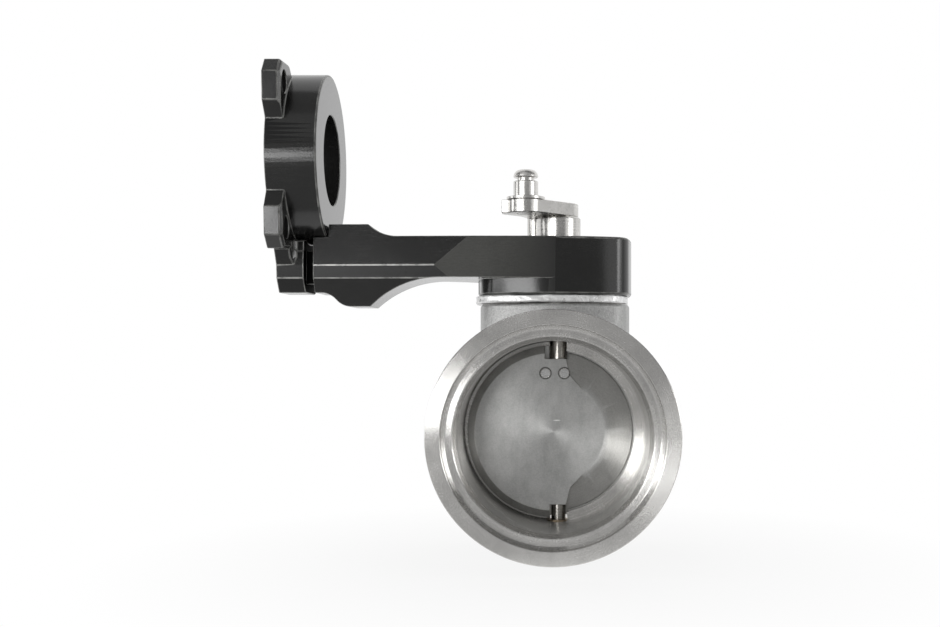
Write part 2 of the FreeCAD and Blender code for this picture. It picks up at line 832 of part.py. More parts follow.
def make_disc_pins():
    pins = []
    for across in pin_places:
        pins.append(rod("disc_pin", disc_pin_radius, rim_back - disc_front + 2.4, spindle_offset + across,
                        spindle_y + disc_front - 0.4, disc_pin_z, "Y"))
    return group("disc_pins", pins)


# Lever: crank plate whose back edges meet the stop post at either end of the travel
def make_lever():
    body = new_body("lever")
    sketch = sketch_in(body, "XY_Plane", z=collar_top)
    post, post_across = (cosine(stop_angle), sine(stop_angle)), (-sine(stop_angle), cosine(stop_angle))
    open_angle = stop_angle - opening_angle
    heel, heel_across = (cosine(open_angle), sine(open_angle)), (-sine(open_angle), cosine(open_angle))
    reach = stop_radius + stop_gap

    def closed_edge(out):
        return post[0] * out + post_across[0] * reach, post[1] * out + post_across[1] * reach

    def open_edge(out):
        return heel[0] * out - heel_across[0] * reach, heel[1] * out - heel_across[1] * reach

    length_squared = crank_x * crank_x + crank_y * crank_y
    length = Size(math.sqrt(length_squared.value), f"sqrt({length_squared.text})")
    normal_x, normal_y = crank_y / length, -crank_x / length
    outline(sketch, [
        open_edge(stop_distance * 0.66),
        closed_edge(stop_distance * 0.6) + (hub_radius + 0.9, 1),
        closed_edge(stop_distance + 0.4),
        (-(crank_x + crank_end_radius * 0.3), -(crank_y * 0.2)),
        (-(crank_x + crank_end_radius + 0.5), -(crank_y * 0.66)),
        (-(crank_x + crank_end_radius + 1.8), -(crank_y * 0.78)),
        (-(crank_x + crank_end_radius + 1.8), -(crank_y * 1.1)),
        (-(crank_x + crank_end_radius * 0.94), -(crank_y + crank_end_radius * 0.342)),
        (normal_x * crank_end_radius - crank_x, normal_y * crank_end_radius - crank_y,
         crank_end_radius, 1),
        (normal_x * hub_radius, normal_y * hub_radius),
        (hub_radius, 0, hub_radius, 1),
        (hub_radius, stop_distance * 0.82),
        open_edge(stop_distance * 1.04),
    ])
    pad(body, sketch, lever_thickness)
    sketch = sketch_in(body, "XY_Plane", z=collar_top)
    circle(sketch, 0, 0, spindle_radius)
    circle(sketch, -crank_x, -crank_y, pin_radius - 1.2)
    pocket(body, sketch, lever_thickness, reverse=True)
    return on_spindle(body)


# Clevis pin: flanged, grooved near its domed head, riveted through the lever
def make_clevis_pin():
    groove_low = lever_top + pin_height * 0.63
    groove_high = groove_low + 1.05
    tip = lever_top + pin_height
    stem = pin_radius - 1.2
    body = turned("clevis_pin", [
        (0, collar_top),
        (stem, collar_top),
        (stem, lever_top),
        (pin_radius + 2.05, lever_top),
        (pin_radius + 2.05, lever_top + 0.9),
        (pin_radius, lever_top + 0.9),
        (pin_radius, groove_low - 0.2),
        (pin_radius - 0.2, groove_low),
        (pin_radius - 1.15, groove_low),
        (pin_radius - 1.15, groove_high),
        (pin_radius - 0.2, groove_high),
        (pin_radius, groove_high + 0.3),
        (pin_radius - 0.15, tip - 1.3),
        (pin_radius - 1.4, tip, 2.0, 1),
        (0, tip),
    ])
    return place(body, spindle_offset - crank_x, spindle_y - crank_y)


# Collar, its grub screw, washers, bushes and seals, all on the spindle's line
def make_spindle_hardware():
    washer_top = head_top + 0.8
    collar = turned("collar", [
        (spindle_radius, washer_top),
        (collar_radius, washer_top),
        (collar_radius, collar_top - 0.6),
        (collar_radius - 0.6, collar_top),
        (spindle_radius, collar_top),
    ])
    screw_z = washer_top + (collar_top - washer_top) * 0.5
    sketch = sketch_in(collar, "XZ_Plane")
    circle(sketch, 0, screw_z, 1.5)
    pocket(collar, sketch, collar_radius + 1.0, reverse=False)
    grub = rod("collar_screw", 1.5, collar_radius - spindle_radius - 0.5,
               spindle_offset, spindle_y + spindle_radius, screw_z, "Y")
    free = spindle_radius + running_gap
    bush_outer = spindle_radius + 2.2
    packing_top = neck_top - 1.0
    pieces = [
        on_spindle(collar),
        grub,
        on_spindle(sleeve("thrust_washer", free, collar_radius - 0.4, head_top, washer_top)),
        on_spindle(turned("bracket_bush", [
            (free, gasket_top + 3.0),
            (spindle_radius + 2.7, gasket_top + 3.0),
            (spindle_radius + 2.7, head_top - 1.0),
            (spindle_radius + 3.6, head_top - 1.0),
            (spindle_radius + 3.6, head_top),
            (free, head_top),
        ])),
        on_spindle(sleeve("upper_bush", free, bush_outer, upper_hole_bottom, packing_bottom)),
        on_spindle(sleeve("spindle_packing", free, bush_outer, packing_bottom, packing_top)),
        on_spindle(sleeve("gland_ring", free + 0.1, bush_outer, packing_top, gasket_top)),
        on_spindle(sleeve("lower_bush", journal_radius + running_gap, spindle_radius + 0.8,
                          lower_bush_bottom, 0.5 - bore_radius)),
    ]
    plug = turned("lower_plug", [
        (0, boss_bottom + 0.2),
        (spindle_radius + 2.7, boss_bottom + 0.2),
        (spindle_radius + 2.7, lower_bush_bottom),
        (0, lower_bush_bottom),
    ])
    sketch = sketch_in(plug, "XY_Plane", z=boss_bottom + 0.2)
    key = Size(2.5)
    outline(sketch, [(key * math.cos(math.radians(60.0 * k)), key * math.sin(math.radians(60.0 * k)))
                     for k in range(6)])
    pocket(plug, sketch, 2.0, reverse=True)
    pieces.append(on_spindle(plug))

    rings = []
    for count in range(2):
        low = ring_groove_z + 2.0 * count + 0.1
        rings.append(on_spindle(sleeve("seal_ring", journal_radius + 0.1, free, low, low + 0.8)))
    pieces.append(group("seal_rings", rings))
    return pieces


# Stop post pressed into the bracket's head
def make_stop_post():
    top = lever_top - 0.5
    post = turned("stop_post", [
        (0, head_top - 8.0),
        (stop_radius, head_top - 8.0),
        (stop_radius, top - 0.5),
        (stop_radius - 0.5, top),
        (0, top),
    ])
    return place(post, spindle_offset + stop_distance * cosine(stop_angle),
                 spindle_y + stop_distance * sine(stop_angle))


# Socket-head screws
def cap_screw(name, thread, head, head_height_above, length):
    """A socket-head screw that stands on its own origin, head up."""
    screw = turned(name, [
        (0, -length),
        (thread, -length),
        (thread, 0),
        (head, 0),
        (head, head_height_above - 0.3),
        (head - 0.3, head_height_above),
        (0, head_height_above),
    ])
    sketch = sketch_in(screw, "XY_Plane", z=head_height_above)
    key = thread * 0.92
    outline(sketch, [(key * math.cos(math.radians(60.0 * k)), key * math.sin(math.radians(60.0 * k)))
                     for k in range(6)])
    pocket(screw, sketch, head_height_above * 0.5)
    return screw


def make_fasteners():
    recess_floor = head_top - 6.4
    screws, washers = [], []
    for side_x, side_y in corner_signs:
        x, y = neck_x + bolt_half * side_x, spindle_y + bolt_half * side_y
        length = recess_floor + 1.0 - neck_top + 9.0
        screw = cap_screw("bracket_screw", screw_radius, Size(4.25), Size(5.0), length)
        screws.append(place(screw, x, y, recess_floor + 1.0))
        washer = sleeve("bracket_washer", screw_radius + 0.15, Size(4.4), Size(0), Size(1.0))
        washers.append(place(washer, x, y, recess_floor))
    mount_screws = []
    seat_y = ring_y + mount_shift
    for side_y in (-1, 1):
        screw = cap_screw("mount_screw", mount_screw_radius, Size(3.5), Size(4.0), mount_screw_length)
        mount_screws.append(place(screw, plate_left + 4.4, seat_y + mount_screw_half * side_y,
                                  mount_screw_z, (0, 1, 0), -90))
    dowel = rod("mount_dowel", dowel_radius, 9.6, arm_end - slot_width - 2.9, seat_y, mount_screw_z, "X")
    return [group("bracket_screws", screws), group("bracket_washers", washers),
            group("mount_screws", mount_screws), dowel]


nodes = [
    make_valve_body(),
    make_gasket(),
    make_bracket(),
    make_actuator_mount(),
    make_spindle(),
    make_disc(),
    make_disc_pins(),
    make_lever(),
    make_clevis_pin(),
    make_stop_post(),
]
nodes += make_spindle_hardware()
nodes += make_fasteners()

doc.recompute()
for item in doc.Objects:
    faults = [word for word in item.State if word in ("Invalid", "Error")]
    if faults:
        raise RuntimeError(f"{item.Name} is {faults}")
for node in nodes:
    if node.Shape.isNull() or not node.Shape.isValid():
        raise RuntimeError(f"{node.Label} has no valid shape")
    if not node.Shape.Solids:
        raise RuntimeError(f"{node.Label} has no solid")
for node in nodes:
    node.Shape.exportStep(f"parts/{node.Label}.step")
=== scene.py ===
import json
import math

import bmesh
import bpy
import numpy as np
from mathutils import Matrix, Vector


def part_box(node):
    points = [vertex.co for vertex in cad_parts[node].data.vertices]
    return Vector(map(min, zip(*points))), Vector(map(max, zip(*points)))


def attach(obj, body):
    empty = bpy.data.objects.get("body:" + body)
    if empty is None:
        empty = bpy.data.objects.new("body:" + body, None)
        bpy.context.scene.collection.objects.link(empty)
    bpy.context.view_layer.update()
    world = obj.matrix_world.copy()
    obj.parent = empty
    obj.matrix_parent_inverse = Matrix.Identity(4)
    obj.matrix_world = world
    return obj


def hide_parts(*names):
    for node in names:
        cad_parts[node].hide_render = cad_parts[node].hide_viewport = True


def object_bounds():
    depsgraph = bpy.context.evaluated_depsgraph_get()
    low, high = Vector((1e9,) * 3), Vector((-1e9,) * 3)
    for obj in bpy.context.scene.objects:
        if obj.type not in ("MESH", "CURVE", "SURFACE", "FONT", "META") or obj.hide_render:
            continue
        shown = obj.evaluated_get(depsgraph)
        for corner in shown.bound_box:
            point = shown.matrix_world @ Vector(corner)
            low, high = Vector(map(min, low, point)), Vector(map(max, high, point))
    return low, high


# Looks of the butterfly wastegate, in metres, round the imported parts.
# X runs right, Y from the outlet to the inlet, Z up the spindle.

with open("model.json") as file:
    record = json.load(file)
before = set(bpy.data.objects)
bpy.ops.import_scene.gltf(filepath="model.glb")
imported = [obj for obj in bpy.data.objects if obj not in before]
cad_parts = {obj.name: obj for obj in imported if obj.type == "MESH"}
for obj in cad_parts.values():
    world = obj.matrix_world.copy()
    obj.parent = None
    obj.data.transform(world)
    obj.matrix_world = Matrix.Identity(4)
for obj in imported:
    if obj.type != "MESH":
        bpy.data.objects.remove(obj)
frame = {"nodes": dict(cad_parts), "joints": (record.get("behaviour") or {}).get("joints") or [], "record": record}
cad_low, cad_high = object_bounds()

MM = 0.001


# Places read from the frame

def upright_axis(node):
    """The foot of the upright line through the middle of a node."""
    low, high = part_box(node)
    return ((low.x + high.x) / 2, (low.y + high.y) / 2, 0.0)


mounts = {row["name"]: row["pos_m"] for row in frame["record"]["mounts"]}
spindle_x, spindle_y, _ = frame["joints"][0]["pos_m"]
body_low, body_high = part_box("valve_body")
bracket_low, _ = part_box("bracket")
mount_low, mount_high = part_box("actuator_mount")
gasket_low, gasket_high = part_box("heat_gasket")
rivet_low, rivet_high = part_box("disc_pins")

outlet_y = body_low.y
inlet_y = body_high.y
ring_z = mounts["actuator_bore"][2]
floor_z = cad_low.z
bore_axis = (0.0, 0.0, 0.0)
spindle_axis = (spindle_x, spindle_y, 0.0)
pin_axis = upright_axis("clevis_pin")
post_axis = upright_axis("stop_post")

# The arm: its crest's height over the gasket, the place where its front runs flush into
# the head, the narrow gap beside the ring's foot, and its own end beyond the gap
arm_crest_z = gasket_high.z + 8.6 * MM
flush_x = 0.8 * MM
gap_x = mount_low.x + 8.0 * MM
arm_end_x = gap_x + 2.7 * MM

# The two rivets in the disc
rivet_radius = (rivet_high.z - rivet_low.z) / 2
rivet_z = (rivet_high.z + rivet_low.z) / 2
rivets = [(rivet_low.x + rivet_radius, 0.0, rivet_z), (rivet_high.x - rivet_radius, 0.0, rivet_z)]


# Meshes made from the CAD nodes

def merged_copy(node, whole_faces=True):
    """A copy of a CAD node's mesh: its loose triangles are joined at their corners, and
    triangles of one flat face become one face."""
    mesh = frame["nodes"][node].data.copy()
    mesh.name = node + "_shown"
    mesh.materials.clear()
    work = bmesh.new()
    work.from_mesh(mesh)
    bmesh.ops.remove_doubles(work, verts=work.verts, dist=0.05 * MM)
    if whole_faces:
        flat = math.radians(0.05)
        bmesh.ops.dissolve_limit(work, angle_limit=flat, verts=work.verts, edges=work.edges)
    work.to_mesh(mesh)
    work.free()
    for layer in list(mesh.uv_layers):
        mesh.uv_layers.remove(layer)
    return mesh


def body_with(node):
    """The name of the moving or standing body that a node belongs to."""
    bodies = frame["record"]["behaviour"]["bodies"]
    return next(name for name, members in bodies.items() if node in members)


def stand_in(node, mesh, materials):
    """Show a mesh in a CAD node's place, on that node's body."""
    piece = bpy.data.objects.new(node + "_shown", mesh)
    bpy.context.scene.collection.objects.link(piece)
    for material in materials:
        mesh.materials.append(material)
    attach(piece, body_with(node))
    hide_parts(node)
    return piece


def any_edge(edge):
    """The plain choice: no edge is left out."""
    return True


def turned_edge(edge):
    """An edge that runs round the gas bore: both ends at one radius and one depth."""
    same_radius, same_depth = 0.02 * MM, 0.01 * MM
    first, second = (vertex.co for vertex in edge.verts)
    change = abs(math.hypot(first.x, first.z) - math.hypot(second.x, second.z))
    return change < same_radius and abs(first.y - second.y) < same_depth


def weigh_edges(mesh, sharp, wanted):
    """Full bevel weight for each edge sharper than an angle, where the test allows it."""
    work = bmesh.new()
    work.from_mesh(mesh)
    weight = work.edges.layers.float.new("bevel_weight_edge")
    for edge in work.edges:
        if edge.is_manifold and edge.calc_face_angle() > sharp and wanted(edge):
            edge[weight] = 1.0
    work.to_mesh(mesh)
    work.free()


def shade_smooth(mesh, sharp):
    """Smooth shading that breaks at edges sharper than an angle in degrees."""
    mesh.polygons.foreach_set("use_smooth", np.ones(len(mesh.polygons), bool))
    mesh.set_sharp_from_angle(angle=math.radians(sharp))


def give_zones(mesh, zone):
    """Each face's material number, chosen from its centre and its normal."""
    centres = np.empty(len(mesh.polygons) * 3, np.float32)
    normals = np.empty(len(mesh.polygons) * 3, np.float32)
    mesh.polygons.foreach_get("center", centres)
    mesh.polygons.foreach_get("normal", normals)
    chosen = zone(centres.reshape(-1, 3).T, normals.reshape(-1, 3).T)
    mesh.polygons.foreach_set("material_index", chosen.astype(np.int32))


def round_edges(piece, width):
    """Round the weighed edges, then shade each flat face flat up to its rounding."""
    bevel = piece.modifiers.new("rounded_edges", "BEVEL")
    bevel.width = width
    bevel.segments = 2
    bevel.limit_method = "WEIGHT"
    bevel.use_clamp_overlap = False
    bevel.miter_outer = "MITER_ARC"
    even = piece.modifiers.new("even_shading", "WEIGHTED_NORMAL")
    even.mode = "FACE_AREA"
    even.keep_sharp = True
    return bevel


def machined(node, materials, edge, zone=None, wanted=any_edge, edge_finish_with_highlight=None, sharp=26.0, rounded_from=None):
    """The CAD form with smooth curves and small rounded edges. A zone function gives each
    face the number of its material; the rounded edges can have a finish of their own, rubbed in patches and with a
    painted highlight.
    Faces that meet at more than sharp degrees break the shading, and edges are rounded
    from that angle on or from rounded_from degrees."""
    mesh = merged_copy(node)
    weigh_edges(mesh, math.radians(rounded_from or sharp), wanted)
    shade_smooth(mesh, sharp)
    piece = stand_in(node, mesh, materials + ([edge_finish_with_highlight] if edge_finish_with_highlight else []))
    if zone:
        give_zones(mesh, zone)
    if edge:
        bevel = round_edges(piece, edge)
        if edge_finish_with_highlight:
            bevel.material = len(materials)


# Materials

class Nodes:
    """Short words for the nodes of one tree."""

    def __init__(self, tree):
        self.tree = tree

    def node(self, kind, inputs=None, **settings):
        """A new node with its settings, its inputs fed by name or number."""
        made = self.tree.nodes.new(kind)
        for name, value in settings.items():
            setattr(made, name, value)
        for key, value in (inputs or {}).items():
            self.feed(made.inputs[key], value)
        return made

    def feed(self, socket, value):
        """Links another node's output to a socket, or gives it a plain value."""
        if isinstance(value, bpy.types.NodeSocket):
            self.tree.links.new(value, socket)
        else:
            socket.default_value = value

    def math(self, operation, first, second=0.0):
        """A sum done with single numbers."""
        return self.node("ShaderNodeMath", {0: first, 1: second}, operation=operation).outputs[0]

    def vector(self, operation, first, second=(0, 0, 0)):
        """A sum done with vectors, which gives a vector or a single number."""
        made = self.node("ShaderNodeVectorMath", {0: first, 1: second}, operation=operation)
        return made.outputs["Value"] if operation in ("LENGTH", "DOT_PRODUCT") else made.outputs[0]

    def seen_rays(self):
        """1 for camera, glossy and transmission rays, 0 for those that light the object."""
        path = self.node("ShaderNodeLightPath").outputs
        seen = self.math("MAXIMUM", path["Is Camera Ray"], path["Is Glossy Ray"])
        return self.math("MAXIMUM", seen, path["Is Transmission Ray"])


class Finish(Nodes):
    """A material, with the patterns and the relief that its detail is made of."""

    def __init__(self, name, colour, metallic, roughness, specular=0.5):
        self.material = bpy.data.materials.new(name)
        self.material.use_nodes = True
        super().__init__(self.material.node_tree)
        self.shader = self.tree.nodes["Principled BSDF"]
        self.shader.inputs["Base Color"].default_value = (*colour, 1.0)
        self.shader.inputs["Metallic"].default_value = metallic
        self.shader.inputs["Roughness"].default_value = roughness
        self.shader.inputs["Specular IOR Level"].default_value = specular
        self.colour = colour
        self.roughness = roughness
        self.shaded = None
        self.place = self.node("ShaderNodeTexCoord").outputs["Object"]

    def noise(self, place, scale, detail=3.0, roughness=0.5):
        """A cloudy pattern about 0.5, its scale in waves to the metre."""
        made = self.node("ShaderNodeTexNoise",
                         {"Vector": place, "Scale": scale, "Detail": detail, "Roughness": roughness})
        return made.outputs["Fac"]

    def span(self, value, low, high, to_low, to_high):
        """One range of values turned into another one, and held at its two ends."""
        made = self.node("ShaderNodeMapRange", {"Value": value, "From Min": low, "From Max": high,
                                                "To Min": to_low, "To Max": to_high})
        return made.outputs[0]

    def mixed(self, *layers):
        """The sum of (pattern, share) layers."""
        total = 0.0
        for value, share in layers:
            total = self.math("ADD", total, self.math("MULTIPLY", value, share))
        return total

    def blend(self, share, first, second):
        """A colour between two others."""
        made = self.node("ShaderNodeMix", data_type="RGBA")
        self.feed(made.inputs[0], share)
        for index, value in ((6, first), (7, second)):
            colour = (*value, 1.0) if isinstance(value, tuple) else value
            self.feed(made.inputs[index], colour)
        return made.outputs[2]

    def along(self, letter):
        """The place along one axis."""
        return self.node("ShaderNodeSeparateXYZ", {0: self.place}).outputs[letter]

    def stretched(self, scales):
        """Object coordinates times one factor per axis, for lines and streaks."""
        return self.vector("MULTIPLY", self.place, scales)

    def away_from(self, centre):
        """The place as seen from a centre."""
        return self.vector("SUBTRACT", self.place, centre)

    def distance(self, centre, scales=(1.0, 1.0, 1.0)):
        """How far a place is from a centre, with one factor per axis."""
        return self.vector("LENGTH", self.vector("MULTIPLY", self.away_from(centre), scales))

    def round_place(self, axis, centre):
        """Distance from a turning axis, and the place along it: what turning marks follow."""
        flat = tuple(0.0 if letter == axis else 1.0 for letter in "XYZ")
        straight = tuple(1.0 if letter == axis else 0.0 for letter in "XYZ")
        height = self.vector("DOT_PRODUCT", self.away_from(centre), straight)
        return self.node("ShaderNodeCombineXYZ", {0: self.distance(centre, flat), 1: height}).outputs[0]

    def spread(self, marks, stretch):
        """Highlights drawn out across fine marks that run along a direction."""
        turned = self.node("ShaderNodeVectorTransform", {0: marks}, vector_type="VECTOR",
                           convert_from="OBJECT", convert_to="WORLD").outputs[0]
        normal = self.node("ShaderNodeNewGeometry").outputs["Normal"]
        across = self.vector("CROSS_PRODUCT", normal, turned)
        self.feed(self.shader.inputs["Tangent"], self.vector("NORMALIZE", across))
        self.shader.inputs["Anisotropic"].default_value = stretch

    def spread_round(self, axis, centre, stretch):
        """Highlights drawn out across turning marks, as on a lathe."""
        spin = tuple(1.0 if letter == axis else 0.0 for letter in "XYZ")
        self.spread(self.vector("CROSS_PRODUCT", spin, self.away_from(centre)), stretch)

    def shade(self, value, low, high):
        """Colour that moves between two levels of the finish's own with a pattern."""
        dark = tuple(channel * low for channel in self.colour)
        light = tuple(min(channel * high, 1.0) for channel in self.colour)
        self.shaded = self.blend(value, dark, light)
        self.feed(self.shader.inputs["Base Color"], self.shaded)

    def fade(self, share, other):
        """The shaded colour turned towards another one by a share."""
        self.feed(self.shader.inputs["Base Color"], self.blend(share, self.shaded, other))

    def gloss(self, value, change):
        """Roughness that moves about the finish's own with a pattern."""
        rough = self.span(value, 0.25, 0.75, self.roughness - change, self.roughness + change)
        self.feed(self.shader.inputs["Roughness"], rough)

    def bumps(self, *layers):
        """Relief from (pattern, depth in metres) layers."""
        normal = None
        for value, depth in layers:
            made = self.node("ShaderNodeBump", {"Height": value, "Distance": depth})
            if normal:
                self.feed(made.inputs["Normal"], normal)
            normal = made.outputs["Normal"]
        self.feed(self.shader.inputs["Normal"], normal)


def turned_metal(name, colour, roughness, axis, centre, marks=6000.0, stretch=0.7, depth=0.006 * MM):
    """Lathe-turned steel: fine marks round an axis, a number of them to the metre, soft
    handling stains and highlights drawn out across the marks."""
    finish = Finish(name, colour, 1.0, roughness)
    rings = finish.round_place(axis, centre)
    fine = finish.noise(rings, marks, detail=2.0)
    broad = finish.noise(rings, marks * 0.12, detail=2.0)
    stain = finish.noise(finish.place, 90.0, detail=4.0, roughness=0.6)
    speckle = finish.noise(finish.place, 2400.0, detail=2.0, roughness=0.7)
    wear = finish.mixed((fine, 0.25), (speckle, 0.35), (stain, 0.4))
    finish.shade(finish.span(wear, 0.36, 0.64, 0.0, 1.0), 0.78, 1.18)
    finish.gloss(wear, 0.07)
    finish.bumps((fine, depth), (broad, depth), (speckle, depth * 0.8))
    finish.spread_round(axis, centre, stretch)
    return finish.material


def cast_metal(name, colour, roughness):
    """Blasted casting: coarse grain, small lumps and grey mottling."""
    finish = Finish(name, colour, 1.0, roughness)
    grain = finish.noise(finish.place, 2600.0, detail=2.0, roughness=0.6)
    lumps = finish.noise(finish.place, 700.0, detail=2.0)
    mottle = finish.noise(finish.place, 60.0, detail=4.0, roughness=0.6)
    skin = finish.mixed((grain, 0.6), (mottle, 0.4))
    finish.shade(finish.span(skin, 0.36, 0.64, 0.0, 1.0), 0.72, 1.28)
    finish.gloss(mottle, 0.06)
    finish.bumps((grain, 0.11 * MM), (lumps, 0.10 * MM))
    return finish.material


def milled_black(name, colour, roughness, specular=0.5, marks=2400.0, streaks=(0.08, 1.0, 1.0)):
    """Black anodised aluminium, its milling marks drawn out by one factor per axis. It
    gives the whole finish, so that a brushed face can add to it."""
    finish = Finish(name, colour, 0.0, roughness, specular)
    lines = finish.noise(finish.stretched(streaks), marks, detail=3.0, roughness=0.6)
    bloom = finish.noise(finish.place, 45.0, detail=4.0, roughness=0.6)
    specks = finish.noise(finish.place, 2600.0, detail=2.0, roughness=0.7)
    surface = finish.mixed((lines, 0.28), (bloom, 0.42), (specks, 0.3))
    finish.shade(finish.span(surface, 0.37, 0.63, 0.0, 1.0), 0.72, 1.35)
    finish.gloss(surface, 0.05)
    finish.bumps((lines, 0.0018 * MM), (specks, 0.012 * MM))
    return finish


def brushed_black(name, colour, roughness, plain, fade_from, fade_to):
    """Anodised aluminium brushed along X, which fades into the plain black of its
    neighbour between two places along X."""
    finish = milled_black(name, colour, roughness, marks=2600.0, streaks=(0.22, 1.0, 1.0))
    finish.spread((1.0, 0.0, 0.0), 0.6)
    finish.fade(finish.span(finish.along("X"), fade_from, fade_to, 0.0, 0.95), plain)
    return finish


def rubbed_edge_and_crest_highlight(name, crest_z):
    """Edges where the black has rubbed thin, in patches, with a painted highlight: a bright band along the arm's
    crest.
    """
    finish = Finish(name, (0.5, 0.5, 0.48), 0.3, 0.3)
    lowest, highest, soft = crest_z - 4.4 * MM, crest_z + 0.6 * MM, 0.2 * MM
    height = finish.along("Z")
    above = finish.span(height, lowest - soft, lowest + soft, 0.0, 1.0)
    below = finish.span(height, highest - soft, highest + soft, 1.0, 0.0)
    crest_highlight_band = finish.math("MULTIPLY", above, below)
    patches = finish.noise(finish.place, 260.0, detail=3.0, roughness=0.6)
    rubbed = finish.span(patches, 0.38, 0.62, 0.12, 0.42)
    # Painted highlight: a band along the arm's crest lines is lightened on the rounded edges.
    crest = finish.math("MULTIPLY", crest_highlight_band, finish.span(patches, 0.35, 0.65, 0.35, 0.8))
    finish.shade(finish.math("MAXIMUM", crest, rubbed), 0.04, 1.0)
    finish.gloss(patches, 0.08)
    finish.bumps((patches, 0.01 * MM))
    return finish.material


def satin_metal(name, colour, roughness):
    """Satin steel: fine even grain, clouds from heat and handling, painted shade in thin rings
    round the rivets and one small bright nick near the middle."""
    finish = Finish(name, colour, 1.0, roughness)
    grain = finish.noise(finish.place, 2300.0, detail=3.0, roughness=0.7)
    smear = finish.noise(finish.stretched((1.0, 1.0, 0.5)), 320.0, detail=4.0, roughness=0.65)
    cloud = finish.noise(finish.place, 75.0, detail=4.0, roughness=0.6)
    surface = finish.mixed((grain, 0.35), (smear, 0.3), (cloud, 0.35))
    tone = finish.span(surface, 0.34, 0.66, 0.72, 1.2)
    # Painted shade: the disc is darkened in a thin ring round each rivet.
    for rivet in rivets:
        off_shaded_seam = finish.math("SUBTRACT", finish.distance(rivet, (1.0, 0.0, 1.0)), rivet_radius)
        off_shaded_seam = finish.math("ABSOLUTE", off_shaded_seam)
        tone = finish.math("MULTIPLY", tone, finish.span(off_shaded_seam, 0.08 * MM, 0.35 * MM, 0.25, 1.0))
    nick = finish.distance((1.1 * MM, 0.0, 3.5 * MM), (0.22, 0.0, 1.0))
    tone = finish.math("ADD", tone, finish.span(nick, 0.1 * MM, 0.3 * MM, 1.1, 0.0))
    finish.shade(finish.math("MULTIPLY", tone, 0.5), 0.0, 2.0)
    finish.gloss(surface, 0.07)
    finish.bumps((grain, 0.012 * MM), (smear, 0.015 * MM))
    finish.spread_round("Y", bore_axis, 0.55)
    return finish.material


def foil(name):
    """Bright pressed foil: fine crinkles on top of the folds that its mesh has."""
    finish = Finish(name, (0.93, 0.93, 0.92), 0.45, 0.3)
    crinkle = finish.noise(finish.stretched((1.0, 1.0, 0.6)), 620.0, detail=4.0, roughness=0.6)
    creases = finish.noise(finish.place, 240.0, detail=2.0)
    finish.shade(finish.span(crinkle, 0.3, 0.7, 0.0, 1.0), 0.7, 1.12)
    finish.gloss(creases, 0.1)
    finish.bumps((creases, 0.3 * MM), (crinkle, 0.12 * MM))
    return finish.material


def porous(name, colour, roughness, metallic, specular=0.5):
    """Sintered metal, pressed powder or a blackened skin, with fine pores."""
    finish = Finish(name, colour, metallic, roughness, specular)
    pores = finish.noise(finish.place, 2600.0, detail=3.0, roughness=0.7)
    tint = finish.noise(finish.place, 180.0, detail=3.0)
    finish.shade(finish.span(pores, 0.35, 0.65, 0.0, 1.0), 0.7, 1.2)
    finish.gloss(tint, 0.08)
    finish.bumps((pores, 0.03 * MM))
    return finish.material


def bright_steel(name, tone, roughness, centre, marks=5000.0, stretch=0.6):
    """Turned steel of one warm grey tone, its marks round an upright axis."""
    colour = (tone, tone - 0.01, tone - 0.03)
    return turned_metal(name, colour, roughness, "Z", centre, marks, stretch)


flange_steel = turned_metal("flange_steel", (0.71, 0.70, 0.68), 0.25, "Y", bore_axis, 5200.0, 1.0)
cast_steel = cast_metal("cast_steel", (0.44, 0.44, 0.435), 0.5)
disc_steel = satin_metal("disc_steel", (0.47, 0.47, 0.46), 0.40)
cone_steel = turned_metal("cone_steel", (0.50, 0.50, 0.49), 0.36, "Y", bore_axis, 6500.0, 0.85, 0.003 * MM)
spindle_steel = turned_metal("spindle_steel", (0.40, 0.385, 0.36), 0.24, "Z", spindle_axis)
rivet_steel = turned_metal("rivet_steel", (0.66, 0.66, 0.65), 0.22, "Y", bore_axis, 5000.0, 0.3)
collar_steel = bright_steel("collar_steel", 0.64, 0.26, spindle_axis)
clevis_steel = bright_steel("clevis_steel", 0.68, 0.30, pin_axis)
post_steel = bright_steel("post_steel", 0.62, 0.24, post_axis)
lever_steel = bright_steel("lever_steel", 0.66, 0.26, spindle_axis, 3000.0, 0.5)

black = (0.012, 0.012, 0.0115)
face_black = (0.014, 0.014, 0.0135)
facet_shade_black = (0.008, 0.008, 0.008)
gap_shade_black = (0.004, 0.004, 0.004)
brushed_grey = (0.05, 0.05, 0.046)
fade_from = flush_x - 13.8 * MM
anodise = milled_black("anodise", black, 0.16).material
# A darker, duller copy of the black: painted shade on the arm's low facets and the ring's front flats.
anodise_facet_shade = milled_black("anodise_facet_shade", facet_shade_black, 0.3, specular=0.25).material
# Near black without sheen: painted shade on the wall of the narrow gap and on the arm's end in it.
anodise_gap_shade = milled_black("anodise_gap_shade", gap_shade_black, 0.6, specular=0.02, streaks=(1.0, 1.0, 1.0)).material
anodise_face = milled_black("anodise_face", face_black, 0.13, specular=0.7, streaks=(1.0, 0.1, 1.0)).material
anodise_brushed = brushed_black("anodise_brushed", brushed_grey, 0.42, black, fade_from, flush_x).material
# Rounded edges of the black parts: rubbed in patches, with a painted highlight along the arm's crest.
anodise_edge_wear_highlight = rubbed_edge_and_crest_highlight("anodise_edge_wear_highlight", arm_crest_z)

gasket_foil = foil("gasket_foil")
bronze = porous("bronze", (0.34, 0.27, 0.19), 0.45, 1.0)
graphite = porous("graphite", (0.06, 0.06, 0.065), 0.6, 0.0)
black_oxide = porous("black_oxide", (0.07, 0.07, 0.075), 0.38, 0.6)
# Near black: painted shade on the screws and the dowel in the narrow gap.
gap_shade_steel = porous("gap_shade_steel", (0.012, 0.012, 0.012), 0.6, 0.0, specular=0.1)


# Valve body: turned where the flanges and the bore are, cast elsewhere

bore_reach = 30.5 * MM
outlet_flange = 4.5 * MM
inlet_flange = 6.0 * MM


